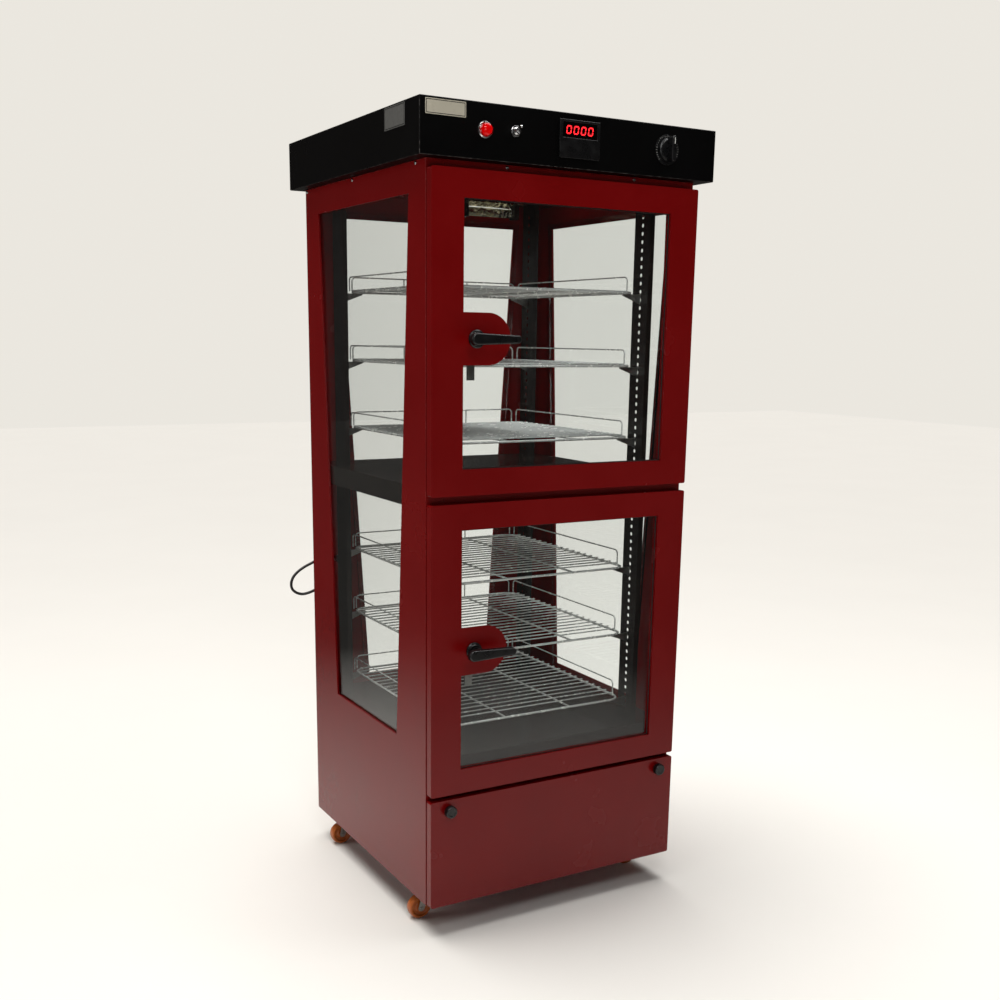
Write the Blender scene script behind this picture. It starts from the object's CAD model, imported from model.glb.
import math

import bmesh
import bpy
from mathutils import Euler, Matrix, Vector, noise


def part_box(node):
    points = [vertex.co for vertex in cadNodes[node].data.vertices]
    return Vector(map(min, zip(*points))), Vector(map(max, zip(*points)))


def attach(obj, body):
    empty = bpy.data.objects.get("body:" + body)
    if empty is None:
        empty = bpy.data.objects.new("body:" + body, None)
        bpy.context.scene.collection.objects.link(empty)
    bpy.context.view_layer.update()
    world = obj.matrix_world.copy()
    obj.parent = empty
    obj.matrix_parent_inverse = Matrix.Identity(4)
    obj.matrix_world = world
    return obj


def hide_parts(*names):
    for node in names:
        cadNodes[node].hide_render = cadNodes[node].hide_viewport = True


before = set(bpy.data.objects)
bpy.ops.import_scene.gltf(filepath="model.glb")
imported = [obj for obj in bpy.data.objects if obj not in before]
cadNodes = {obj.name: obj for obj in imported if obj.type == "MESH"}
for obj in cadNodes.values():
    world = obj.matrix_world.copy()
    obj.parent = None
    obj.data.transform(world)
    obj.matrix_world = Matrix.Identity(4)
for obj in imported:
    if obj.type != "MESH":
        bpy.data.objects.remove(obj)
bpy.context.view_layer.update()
mm = 0.001
forward = Matrix.Rotation(math.radians(90), 4, "X")  # local Z becomes the way out of the front
backward = Matrix.Rotation(math.radians(-90), 4, "X")  # local Z becomes the way out of the back
print("frame loaded:", len(cadNodes), "nodes")

# Camera

cameraSet = {
    "place": (-1.2815, -2.2642, 1.1922),
    "lens": 42.58,  # on a 36 mm sensor
    "shiftY": 0.104,
    "yaw": -0.5232,
    "pitch": -0.2202,
    "roll": 0.0139,
}


def makeCamera():
    s = cameraSet
    data = bpy.data.cameras.new("camera")
    data.lens = s["lens"]
    data.sensor_width = 36
    data.shift_y = s["shiftY"]
    data.clip_start = 0.05
    level = math.cos(s["pitch"])
    ahead = Vector((-math.sin(s["yaw"]) * level, math.cos(s["yaw"]) * level, math.sin(s["pitch"])))
    side = Vector((math.cos(s["yaw"]), math.sin(s["yaw"]), 0))
    above = side.cross(ahead)
    turnedSide = side * math.cos(s["roll"]) + above * math.sin(s["roll"])
    turnedUp = above * math.cos(s["roll"]) - side * math.sin(s["roll"])
    camera = bpy.data.objects.new("camera", data)
    bpy.context.scene.collection.objects.link(camera)
    axes = Matrix((turnedSide, turnedUp, -ahead)).transposed().to_4x4()
    camera.matrix_world = Matrix.Translation(s["place"]) @ axes
    bpy.context.scene.camera = camera


makeCamera()
print("camera placed")

# Shader node helpers


def feed(tree, value, socket):
    if isinstance(value, bpy.types.NodeSocket):
        tree.links.new(value, socket)
    else:
        socket.default_value = value


def addNode(tree, kind, inputs=None, **settings):
    made = tree.nodes.new(kind)
    for key, value in settings.items():
        setattr(made, key, value)
    for key, value in (inputs or {}).items():
        feed(tree, value, made.inputs[key])
    return made


def makeGroup(name, inputs):
    tree = bpy.data.node_groups.new(name, "ShaderNodeTree")
    for label, value in inputs.items():
        kind = "Float" if isinstance(value, float) else ("Color" if len(value) == 4 else "Vector")
        socket = tree.interface.new_socket(name=label, in_out="INPUT", socket_type="NodeSocket" + kind)
        socket.default_value = value
    for label, kind in (("Colour", "Color"), ("Roughness", "Float"), ("Height", "Float")):
        tree.interface.new_socket(name=label, in_out="OUTPUT", socket_type="NodeSocket" + kind)
    return tree, tree.nodes.new("NodeGroupInput").outputs, tree.nodes.new("NodeGroupOutput").inputs


def rgba(red, green, blue):
    return (red, green, blue, 1)


def dimmed(colour, share):
    return tuple(share * part for part in colour[:3]) + (1,)


def objectPlace(tree):
    return tree.nodes.new("ShaderNodeTexCoord").outputs["Object"]


def edgeAmount(tree):
    return addNode(tree, "ShaderNodeAttribute", attribute_name="edgeMask").outputs["Fac"]


def blendColour(tree, share, low, high):
    return addNode(tree, "ShaderNodeMix", {0: share, 6: low, 7: high}, data_type="RGBA").outputs[2]


def calculate(tree, operation, first, second=0.0, clamp=False):
    sums = addNode(tree, "ShaderNodeMath", {0: first, 1: second}, operation=operation, use_clamp=clamp)
    return sums.outputs[0]


def remap(tree, value, fromLow, fromHigh, toLow=0.0, toHigh=1.0):
    ranged = addNode(tree, "ShaderNodeMapRange", {0: value, 1: fromLow, 2: fromHigh, 3: toLow, 4: toHigh})
    return ranged.outputs[0]


def speckle(tree, coordinates, scale, detail=2.0, roughness=0.5):
    inputs = {"Vector": coordinates, "Scale": scale, "Detail": detail, "Roughness": roughness}
    return addNode(tree, "ShaderNodeTexNoise", inputs).outputs[0]


# Effects shared by several materials


def makeCoatGrain():
    values = {
        "Paint": rgba(0.1, 0.01, 0.01),
        "Worn": rgba(0.3, 0.3, 0.3),
        "Dust": 0.2,
        "Wear": 0.3,
        "Gloss Low": 0.3,
        "Gloss High": 0.42,
    }
    tree, given, out = makeGroup("coatGrain", values)
    where = objectPlace(tree)
    peel = speckle(tree, where, 520, 2.0)
    fine = speckle(tree, where, 2100, 1.0)
    cloud = speckle(tree, where, 4.5, 4.0, 0.6)
    smear = speckle(tree, where, 26, 5.0, 0.7)
    tone = remap(tree, cloud, 0.3, 0.7, 0.9, 1.08)
    toned = addNode(tree, "ShaderNodeVectorMath", {0: given["Paint"], "Scale": tone}, operation="SCALE")
    normal = tree.nodes.new("ShaderNodeNewGeometry").outputs["Normal"]
    split = addNode(tree, "ShaderNodeSeparateXYZ", {0: normal})
    upward = remap(tree, split.outputs["Z"], 0.6, 1.0)
    specks = remap(tree, smear, 0.5, 0.85)
    dust = calculate(tree, "MULTIPLY", calculate(tree, "MULTIPLY", upward, specks), given["Dust"], True)
    dusty = blendColour(tree, dust, toned.outputs[0], rgba(0.3, 0.27, 0.24))
    edge = remap(tree, edgeAmount(tree), 0.55, 1.0)
    chips = remap(tree, speckle(tree, where, 95, 6.0, 0.75), 0.5, 0.66)
    worn = calculate(tree, "MULTIPLY", calculate(tree, "MULTIPLY", edge, chips), given["Wear"], True)
    tree.links.new(blendColour(tree, worn, dusty, given["Worn"]), out["Colour"])
    gloss = remap(tree, cloud, 0.3, 0.75, given["Gloss Low"], given["Gloss High"])
    rough = calculate(tree, "ADD", gloss, calculate(tree, "MULTIPLY", dust, 0.3), True)
    tree.links.new(rough, out["Roughness"])
    tree.links.new(calculate(tree, "ADD", peel, calculate(tree, "MULTIPLY", fine, 0.3)), out["Height"])
    return tree


def makeMetalGrain():
    values = {
        "Metal": rgba(0.6, 0.6, 0.6),
        "Stain": rgba(0.2, 0.17, 0.14),
        "Stains": 0.2,
        "Stretch": (1, 1, 1),
        "Gloss Low": 0.1,
        "Gloss High": 0.25,
    }
    tree, given, out = makeGroup("metalGrain", values)
    where = objectPlace(tree)
    drawn = addNode(tree, "ShaderNodeVectorMath", {0: where, 1: given["Stretch"]}, operation="MULTIPLY")
    lines = speckle(tree, drawn.outputs[0], 900, 3.0, 0.6)
    patch = speckle(tree, where, 38, 5.0, 0.7)
    stained = calculate(tree, "MULTIPLY", remap(tree, patch, 0.52, 0.74), given["Stains"], True)
    tree.links.new(blendColour(tree, stained, given["Metal"], given["Stain"]), out["Colour"])
    lineShare = calculate(tree, "MULTIPLY", lines, 0.6)
    mixed = calculate(tree, "ADD", lineShare, calculate(tree, "MULTIPLY", patch, 0.4))
    gloss = remap(tree, mixed, 0.3, 0.7, given["Gloss Low"], given["Gloss High"])
    tree.links.new(calculate(tree, "ADD", gloss, stained, True), out["Roughness"])
    tree.links.new(lines, out["Height"])
    return tree


def makeMouldGrain():
    values = {
        "Body": rgba(0.02, 0.02, 0.02),
        "Rubbed": rgba(0.09, 0.09, 0.09),
        "Rubbing": 0.3,
        "Grain Scale": 1500.0,
        "Gloss Low": 0.4,
        "Gloss High": 0.6,
    }
    tree, given, out = makeGroup("mouldGrain", values)
    where = objectPlace(tree)
    grain = speckle(tree, where, given["Grain Scale"], 2.0)
    patch = speckle(tree, where, 55, 5.0, 0.65)
    edge = calculate(tree, "MULTIPLY", edgeAmount(tree), 0.5)
    raised = calculate(tree, "ADD", edge, remap(tree, patch, 0.5, 0.8, 0.0, 0.6))
    rubbed = calculate(tree, "MULTIPLY", raised, given["Rubbing"], True)
    tree.links.new(blendColour(tree, rubbed, given["Body"], given["Rubbed"]), out["Colour"])
    tree.links.new(remap(tree, patch, 0.3, 0.7, given["Gloss Low"], given["Gloss High"]), out["Roughness"])
    tree.links.new(grain, out["Height"])
    return tree


coatGrain = makeCoatGrain()
metalGrain = makeMetalGrain()
mouldGrain = makeMouldGrain()


def newMaterial(name, shaderInputs):
    material = bpy.data.materials.new(name)
    material.use_nodes = True
    tree = material.node_tree
    shader = tree.nodes["Principled BSDF"]
    for key, value in shaderInputs.items():
        shader.inputs[key].default_value = value
    return material, tree, shader


def groupedMaterial(name, group, values, gloss, bump, shaderInputs):
    material, tree, shader = newMaterial(name, shaderInputs)
    values = {**values, "Gloss Low": gloss[0], "Gloss High": gloss[1]}
    effect = addNode(tree, "ShaderNodeGroup", node_tree=group)
    for key, value in values.items():
        effect.inputs[key].default_value = value
    tree.links.new(effect.outputs["Colour"], shader.inputs["Base Color"])
    tree.links.new(effect.outputs["Roughness"], shader.inputs["Roughness"])
    relief = {"Strength": bump[0], "Distance": bump[1], "Height": effect.outputs["Height"]}
    tree.links.new(addNode(tree, "ShaderNodeBump", relief).outputs["Normal"], shader.inputs["Normal"])
    return material


def coat(name, paint, worn, dust, wear, gloss, bump=0.25, shine=0.5):
    values = {"Paint": rgba(*paint), "Worn": rgba(*worn), "Dust": dust, "Wear": wear}
    shaderInputs = {"IOR": 1.5, "Specular IOR Level": shine}
    return groupedMaterial(name, coatGrain, values, gloss, (bump, 0.00025), shaderInputs)


def metal(name, colour, stain, stains, gloss, stretch=(1, 1, 1), bump=0.08, bare=1.0):
    values = {"Metal": rgba(*colour), "Stain": rgba(*stain), "Stains": stains, "Stretch": stretch}
    return groupedMaterial(name, metalGrain, values, gloss, (bump, 0.0001), {"Metallic": bare})


def moulded(name, body, rubbed, rubbing, grain, gloss, bump=0.2):
    values = {"Body": rgba(*body), "Rubbed": rgba(*rubbed), "Rubbing": rubbing, "Grain Scale": grain}
    return groupedMaterial(name, mouldGrain, values, gloss, (bump, 0.0001), {})


redPaint = coat("redPaint", (0.155, 0.001, 0.0014), (0.34, 0.12, 0.11), 0.0, 0.5, (0.2, 0.3), 0.08, 0.28)
blackPaint = coat("blackPaint", (0.0015, 0.0014, 0.0015), (0.2, 0.18, 0.17), 0.1, 0.6, (0.24, 0.36), 0.1, 0.2)
ovenEnamel = coat("ovenEnamel", (0.012, 0.0085, 0.007), (0.1, 0.08, 0.07), 0.0, 0.4, (0.16, 0.26), 0.012)
chromedWire = metal("chromedWire", (0.9, 0.9, 0.87), (0.4, 0.32, 0.22), 0.22, (0.14, 0.26), bare=0.55)
polishedTrim = metal("polishedTrim", (0.78, 0.78, 0.79), (0.3, 0.28, 0.26), 0.15, (0.06, 0.16))
zincPlate = metal("zincPlate", (0.4, 0.39, 0.37), (0.16, 0.12, 0.08), 0.6, (0.26, 0.42), (1, 1, 0.4), 0.15)
brightScrew = metal("brightScrew", (0.75, 0.75, 0.75), (0.3, 0.26, 0.2), 0.3, (0.12, 0.24), bump=0.1)
brushedPlate = metal(
    "brushedPlate", (0.62, 0.58, 0.47), (0.36, 0.32, 0.25), 0.3, (0.4, 0.56), (0.05, 0.05, 2.2), 0.3, 0.45
)
greyPlate = metal("greyPlate", (0.13, 0.13, 0.125), (0.05, 0.05, 0.045), 0.3, (0.4, 0.56), bump=0.2, bare=0.3)
burntSheath = metal("burntSheath", (0.2, 0.165, 0.14), (0.06, 0.04, 0.03), 0.7, (0.4, 0.6), bump=0.2)
tinFoil = metal("tinFoil", (0.66, 0.58, 0.38), (0.24, 0.18, 0.09), 0.5, (0.08, 0.18), bump=0.2)
blackMoulding = moulded(
    "blackMoulding", (0.0035, 0.0035, 0.004), (0.025, 0.025, 0.025), 0.4, 1500, (0.22, 0.38), 0.12
)
blackRubber = moulded("blackRubber", (0.009, 0.009, 0.009), (0.06, 0.058, 0.055), 0.5, 900, (0.6, 0.8))
mainsFlex = moulded("mainsFlex", (0.013, 0.013, 0.013), (0.07, 0.065, 0.06), 0.45, 1200, (0.42, 0.6))
amberTread = moulded("amberTread", (0.4, 0.095, 0.012), (0.1, 0.035, 0.015), 0.9, 700, (0.26, 0.42))
whiteMark = moulded("whiteMark", (0.72, 0.72, 0.7), (0.4, 0.4, 0.38), 0.4, 1800, (0.4, 0.5))


def makeGlass(name, tint, shade, smudges, roughLow=0.0):
    shaderInputs = {"Base Color": rgba(*tint), "Transmission Weight": 1.0, "IOR": 1.45}
    material, tree, shader = newMaterial(name, shaderInputs)
    prints = speckle(tree, objectPlace(tree), 17, 6.0, 0.7)
    tree.links.new(remap(tree, prints, 0.56, 0.78, roughLow, roughLow + smudges), shader.inputs["Roughness"])
    clear = addNode(tree, "ShaderNodeBsdfTransparent", {"Color": rgba(*shade)})
    path = tree.nodes.new("ShaderNodeLightPath")
    mix = addNode(tree, "ShaderNodeMixShader", {0: path.outputs["Is Shadow Ray"]})
    tree.links.new(shader.outputs[0], mix.inputs[1])
    tree.links.new(clear.outputs[0], mix.inputs[2])
    tree.links.new(mix.outputs[0], tree.nodes["Material Output"].inputs["Surface"])
    return material


clearGlass = makeGlass("clearGlass", (0.94, 0.965, 0.96), (0.9, 0.93, 0.925), 0.02)
redLensGlass = makeGlass("redLensGlass", (0.8, 0.004, 0.008), (0.7, 0.02, 0.02), 0.04, 0.02)
displayGlass = makeGlass("displayGlass", (0.3, 0.01, 0.01), (0.4, 0.02, 0.02), 0.05, 0.01)
lampGlass = makeGlass("lampGlass", (0.96, 0.96, 0.93), (0.9, 0.9, 0.88), 0.04)


def makeGlow(name, colour, strength):
    shaderInputs = {"Base Color": rgba(0.3, 0.01, 0.005), "Roughness": 0.4, "Emission Strength": strength}
    material, tree, shader = newMaterial(name, shaderInputs)
    grains = remap(tree, speckle(tree, objectPlace(tree), 700, 2.0), 0.3, 0.7)
    tree.links.new(blendColour(tree, grains, dimmed(colour, 0.75), colour), shader.inputs["Emission Color"])
    return material


digitGlow = makeGlow("digitGlow", rgba(1.0, 0.012, 0.02), 3.2)
neonGlow = makeGlow("neonGlow", rgba(0.9, 0.0, 0.012), 0.55)
print("materials made")

# Mesh helpers


def newShape():
    bm = bmesh.new()
    bm.verts.layers.float.new("edgeMask")
    return bm


def roundEdges(bm, edges, width, steps=2):
    made = bmesh.ops.bevel(
        bm,
        geom=list(edges),
        offset=width,
        offset_type="OFFSET",
        segments=steps,
        profile=0.5,
        affect="EDGES",
        clamp_overlap=True,
    )
    mask = bm.verts.layers.float["edgeMask"]
    narrow = {f for f in made["faces"] if min(e.calc_length() for e in f.edges) < width}
    slim = {f for f in narrow if f.calc_area() < width * f.calc_perimeter() / 2}
    for vert in made["verts"]:  # only the crest of the rounding counts as an edge
        vert[mask] = 1.0 if all(f in slim for f in vert.link_faces) else 0.0


def sharpEdges(bm, angle=0.6, longer=0.0):
    folds = [e for e in bm.edges if len(e.link_faces) == 2 and abs(e.calc_face_angle()) > angle]
    return [e for e in folds if e.calc_length() > longer]


def cadShape(nodeName):
    bm = newShape()
    bm.from_mesh(cadNodes[nodeName].data)
    bmesh.ops.remove_doubles(bm, verts=bm.verts, dist=2e-6)
    bmesh.ops.dissolve_limit(bm, angle_limit=0.008, verts=bm.verts, edges=bm.edges)
    return bm


def filletPath(points, radius, steps=4, closed=False):
    path = [Vector(p) for p in points]
    made = []
    for i, here in enumerate(path):
        if not closed and i in (0, len(path) - 1):
            made.append(here)
            continue
        back = path[i - 1] - here
        ahead = path[(i + 1) % len(path)] - here
        turn = math.pi - back.angle(ahead)
        if turn < 0.05:
            made.append(here)
            continue
        reach = min(radius * math.tan(turn / 2), back.length * 0.48, ahead.length * 0.48)
        start = here + back.normalized() * reach
        end = here + ahead.normalized() * reach
        for k in range(steps + 1):
            t = k / steps
            made.append(start * (1 - t) ** 2 + here * 2 * t * (1 - t) + end * t * t)
    return made


def plate(outline, depth, edge, steps=3, base=0.0):
    bm = newShape()
    low = [bm.verts.new((p[0], p[1], base)) for p in outline]
    high = [bm.verts.new((p[0], p[1], base + depth)) for p in outline]
    bm.faces.new(list(reversed(low)))
    bm.faces.new(high)
    for i in range(len(low)):
        j = (i + 1) % len(low)
        bm.faces.new((low[i], low[j], high[j], high[i]))
    bmesh.ops.recalc_face_normals(bm, faces=bm.faces)
    rims = [e for e in bm.edges if abs(e.verts[0].co.z - e.verts[1].co.z) < 1e-8]
    roundEdges(bm, rims, edge, steps)
    return bm


def lathe(profile, radius=0.0, sides=48, flutes=None):
    bm = newShape()
    path = filletPath(profile, radius, 3) if radius else [Vector(p) for p in profile]
    rings = []
    for r, h in path:
        if r < 1e-7:
            rings.append([bm.verts.new((0, 0, h))])
            continue
        ring = []
        for k in range(sides):
            a = 2 * math.pi * k / sides
            reach = r * (flutes(a, r, h) if flutes else 1)
            ring.append(bm.verts.new((reach * math.cos(a), reach * math.sin(a), h)))
        rings.append(ring)
    for one, two in zip(rings, rings[1:]):
        for k in range(sides):
            n = (k + 1) % sides
            corners = [one[k % len(one)], one[n % len(one)], two[n % len(two)], two[k % len(two)]]
            kept = [v for i, v in enumerate(corners) if v not in corners[:i]]
            if len(kept) > 2:
                bm.faces.new(kept)
    bmesh.ops.recalc_face_normals(bm, faces=bm.faces)
    return bm


def roundRect(width, height, radius, steps=5):
    w, h = width / 2, height / 2
    return filletPath([(-w, -h), (w, -h), (w, h), (-w, h)], radius, steps, True)


def merged(*shapes):
    bm = newShape()
    for shape in shapes:
        mesh = bpy.data.meshes.new("part")
        shape.to_mesh(mesh)
        bm.from_mesh(mesh)
        bpy.data.meshes.remove(mesh)
        shape.free()
    return bm


def hexagon(radius):
    corners = [math.radians(60 * i) for i in range(6)]
    return [(radius * math.cos(a), radius * math.sin(a)) for a in corners]


def scaled(*profile):
    return [(across * mm, along * mm) for across, along in profile]


def moved(shape, place):
    bmesh.ops.transform(shape, matrix=place, verts=shape.verts)
    return shape


def shift(x, y, z):
    return Matrix.Translation((x, y, z))


def settle(name, mesh, body, stands, angle=40, weighted=True):
    mesh.name = name
    mesh.shade_smooth()
    mesh.set_sharp_from_angle(angle=math.radians(angle))
    piece = bpy.data.objects.new(name, mesh)
    bpy.context.scene.collection.objects.link(piece)
    if weighted:
        evened = piece.modifiers.new("evened", "WEIGHTED_NORMAL")
        evened.keep_sharp = True
    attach(piece, body)
    if stands:
        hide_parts(*stands)
    return piece


def addPiece(name, shape, material, body, stands, angle=40, weighted=True):
    mesh = bpy.data.meshes.new(name)
    shape.to_mesh(mesh)
    shape.free()
    mesh.materials.append(material)
    return settle(name, mesh, body, stands, angle, weighted)


def copyNode(nodeName, width, material, body, name="", longer=0.0, angle=0.6, steps=2):
    # a CAD piece as it stands, with its edges rounded
    bm = cadShape(nodeName)
    roundEdges(bm, sharpEdges(bm, angle, longer), width, steps)
    addPiece(name or camelName(nodeName), bm, material, body, [nodeName])


def camelName(nodeName):
    first, *others = nodeName.split("_")
    return first + "".join(word.capitalize() for word in others)


def nodeMiddle(nodeName):
    low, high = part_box(nodeName)
    return (low + high) / 2


def onFrontOf(faceNode, nodeName):
    # stands on the front face of one node, at the middle of the other
    middle = nodeMiddle(nodeName)
    return shift(middle.x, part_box(faceNode)[0].y, middle.z) @ forward


def paintNode(nodeName, material):
    mesh = cadNodes[nodeName].data
    mesh.materials.clear()
    mesh.materials.append(material)


# Geometry node trees for whatever repeats


def treeOf(name, inputs):
    tree = bpy.data.node_groups.new(name, "GeometryNodeTree")
    for label, kind in {"Geometry": "Geometry", **inputs, "Finish": "Material"}.items():
        tree.interface.new_socket(name=label, in_out="INPUT", socket_type="NodeSocket" + kind)
    tree.interface.new_socket(name="Geometry", in_out="OUTPUT", socket_type="NodeSocketGeometry")
    return tree, tree.nodes.new("NodeGroupInput").outputs, tree.nodes.new("NodeGroupOutput").inputs


def closeTree(tree, shape, given, out):
    real = addNode(tree, "GeometryNodeRealizeInstances", {0: shape})
    inputs = {"Geometry": real.outputs[0], "Material": given["Finish"]}
    tree.links.new(addNode(tree, "GeometryNodeSetMaterial", inputs).outputs[0], out[0])
    return tree


def roundWire(tree, line, given):
    inputs = {"Radius": given["Wire Radius"], "Resolution": given["Sides"]}
    ring = addNode(tree, "GeometryNodeCurvePrimitiveCircle", inputs)
    inputs = {"Curve": line, "Profile Curve": ring.outputs[0], "Fill Caps": True}
    return addNode(tree, "GeometryNodeCurveToMesh", inputs).outputs[0]


def makeBentWire():
    inputs = {"Wire Radius": "Float", "Bend Radius": "Float", "Bend Steps": "Int", "Sides": "Int"}
    tree, given, out = treeOf("bentWire", inputs)
    line = addNode(tree, "GeometryNodeMeshToCurve", {"Mesh": given["Geometry"]})
    inputs = {"Curve": line.outputs[0], "Radius": given["Bend Radius"], "Count": given["Bend Steps"]}
    bend = addNode(tree, "GeometryNodeFilletCurve", {"Limit Radius": True}, mode="POLY")
    for key, value in inputs.items():
        feed(tree, value, bend.inputs[key])
    return closeTree(tree, roundWire(tree, bend.outputs[0], given), given, out)


def makeWireRow():
    inputs = {
        "Length": "Float",
        "Count": "Int",
        "Pitch": "Float",
        "Wire Radius": "Float",
        "Weld Radius": "Float",
        "Sides": "Int",
    }
    tree, given, out = treeOf("wireRow", inputs)
    end = addNode(tree, "ShaderNodeCombineXYZ", {"X": given["Length"]}).outputs[0]
    line = addNode(tree, "GeometryNodeCurvePrimitiveLine", {"End": end})
    wire = roundWire(tree, line.outputs[0], given)
    bead = addNode(tree, "GeometryNodeMeshIcoSphere", {"Subdivisions": 2, "Radius": given["Weld Radius"]})
    inputs = {"Geometry": bead.outputs["Mesh"], "Scale": (1.5, 1.0, 0.8)}
    weld = addNode(tree, "GeometryNodeTransform", inputs).outputs[0]
    farWeld = addNode(tree, "GeometryNodeTransform", {"Geometry": weld, "Translation": end}).outputs[0]
    joined = tree.nodes.new("GeometryNodeJoinGeometry")
    for part in (wire, weld, farWeld):
        tree.links.new(part, joined.inputs[0])
    step = addNode(tree, "ShaderNodeCombineXYZ", {"Y": given["Pitch"]}).outputs[0]
    row = addNode(tree, "GeometryNodeMeshLine", {"Count": given["Count"], "Offset": step}, mode="OFFSET")
    inputs = {"Points": row.outputs[0], "Instance": joined.outputs[0]}
    shelf = addNode(tree, "GeometryNodeInstanceOnPoints", inputs)
    inputs = {"Points": given["Geometry"], "Instance": shelf.outputs[0]}
    tiers = addNode(tree, "GeometryNodeInstanceOnPoints", inputs)
    return closeTree(tree, tiers.outputs[0], given, out)


def makeScatter():
    tree, given, out = treeOf("scatter", {"Part": "Object", "Spin": "Float", "Seed": "Int"})
    part = addNode(tree, "GeometryNodeObjectInfo", {"Object": given["Part"]})
    turn = addNode(tree, "GeometryNodeInputNamedAttribute", {"Name": "turn"}, data_type="FLOAT_VECTOR")
    asTurn = addNode(tree, "FunctionNodeEulerToRotation", {0: turn.outputs[0]})
    chance = addNode(
        tree, "FunctionNodeRandomValue", {3: given["Spin"], "Seed": given["Seed"]}, data_type="FLOAT"
    )
    inputs = {"Axis": (0, 0, 1), "Angle": chance.outputs[1]}
    spin = addNode(tree, "FunctionNodeAxisAngleToRotation", inputs)
    inputs = {0: asTurn.outputs[0], 1: spin.outputs[0]}
    turned = addNode(tree, "FunctionNodeRotateRotation", inputs, rotation_space="LOCAL")
    inputs = {
        "Points": given["Geometry"],
        "Instance": part.outputs["Geometry"],
        "Rotation": turned.outputs[0],
    }
    placed = addNode(tree, "GeometryNodeInstanceOnPoints", inputs)
    return closeTree(tree, placed.outputs[0], given, out)


bentWire = makeBentWire()
wireRow = makeWireRow()
scatter = makeScatter()


def runTree(tree, base, inputs):
    carrier = bpy.data.objects.new("carrier", base)
    bpy.context.scene.collection.objects.link(carrier)
    maker = carrier.modifiers.new("maker", "NODES")
    maker.node_group = tree
    names = {s.name: s.identifier for s in tree.interface.items_tree if s.in_out == "INPUT"}
    for label, value in inputs.items():
        maker[names[label]] = value
    seen = carrier.evaluated_get(bpy.context.evaluated_depsgraph_get())
    mesh = bpy.data.meshes.new_from_object(seen)
    carrier.modifiers.remove(maker)
    bpy.data.objects.remove(carrier)
    bpy.data.meshes.remove(base)
    return mesh


def pathMesh(lines, closed=False):
    mesh = bpy.data.meshes.new("paths")
    points, edges = [], []
    for line in lines:
        first = len(points)
        points += [tuple(p) for p in line]
        edges += [(first + i, first + i + 1) for i in range(len(line) - 1)]
        if closed:
            edges.append((first + len(line) - 1, first))
    mesh.from_pydata(points, edges, [])
    return mesh


def wires(lines, radius, bend, material, sides=10, closed=False):
    inputs = {"Wire Radius": radius, "Bend Radius": bend, "Bend Steps": 6, "Sides": sides, "Finish": material}
    return runTree(bentWire, pathMesh(lines, closed), inputs)


def scattered(part, places, material, spin=0.0, seed=1):
    # each place is a point and the way its local Z faces, or an Euler turn of its own
    base = bpy.data.meshes.new("places")
    base.from_pydata([tuple(p) for p, _ in places], [], [])
    turns = base.attributes.new("turn", "FLOAT_VECTOR", "POINT")
    for i, (_, way) in enumerate(places):
        euler = way if isinstance(way, Euler) else Vector(way).to_track_quat("Z", "Y").to_euler()
        turns.data[i].vector = tuple(euler)
    mesh = bpy.data.meshes.new("part")
    part.to_mesh(mesh)
    part.free()
    source = bpy.data.objects.new("part", mesh)
    made = runTree(scatter, base, {"Part": source, "Spin": spin, "Seed": seed, "Finish": material})
    bpy.data.objects.remove(source)
    bpy.data.meshes.remove(mesh)
    return made


def joinMeshes(*meshes):
    bm = bmesh.new()
    kept = []
    for mesh in meshes:
        first = len(bm.faces)
        bm.from_mesh(mesh)
        bm.faces.ensure_lookup_table()
        for material in mesh.materials:
            if material not in kept:
                kept.append(material)
        for face in bm.faces[first:]:
            face.material_index = kept.index(mesh.materials[face.material_index])
    whole = bpy.data.meshes.new("whole")
    bm.to_mesh(whole)
    bm.free()
    for material in kept:
        whole.materials.append(material)
    for mesh in meshes:
        bpy.data.meshes.remove(mesh)
    return whole


print("trees made")

# Mains cord, with its gland, clips and plug

cordSet = {
    "thickness": 6.6 * mm,
    "ringCentre": (-0.128, 0.4105),
    "outerTurn": 42.3 * mm,
    "innerTurn": 35.7 * mm,
    "lowTurn": 3.4 * mm,
    "highTurn": 9.9 * mm,
    "turns": 3.25,
    "pointsPerTurn": 24,
    "route": [
        (-0.238, 0.3365, 0.682), (-0.238, 0.3465, 0.682), (-0.242, 0.3595, 0.680), (-0.252, 0.3685, 0.677),
        (-0.266, 0.3725, 0.671), (-0.282, 0.3715, 0.664), (-0.300, 0.3695, 0.657), (-0.317, 0.3675, 0.648),
        (-0.331, 0.3655, 0.636), (-0.338, 0.3635, 0.622), (-0.337, 0.3625, 0.608), (-0.328, 0.3615, 0.598),
        (-0.314, 0.3595, 0.593), (-0.299, 0.3565, 0.595), (-0.283, 0.3515, 0.602), (-0.268, 0.3445, 0.612),
        (-0.253, 0.3355, 0.623), (-0.239, 0.3265, 0.631), (-0.224, 0.3215, 0.634), (-0.209, 0.3205, 0.630),
        (-0.198, 0.3205, 0.619), (-0.191, 0.3205, 0.603), (-0.190, 0.3205, 0.580), (-0.190, 0.3205, 0.520),
        (-0.190, 0.3205, 0.440), (-0.190, 0.3205, 0.360), (-0.190, 0.3205, 0.280), (-0.190, 0.3205, 0.200),
        (-0.190, 0.3205, 0.120), (-0.190, 0.3215, 0.060), (-0.190, 0.3245, 0.036), (-0.190, 0.3355, 0.015),
        (-0.188, 0.3535, 0.005), (-0.182, 0.3745, 0.0034), (-0.174, 0.3925, 0.0034),
    ],
    "tail": [
        (-0.117, 0.4528, 0.0102), (-0.106, 0.4528, 0.0125), (-0.096, 0.4528, 0.0152), (-0.089, 0.4528, 0.016),
    ],
}


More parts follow.
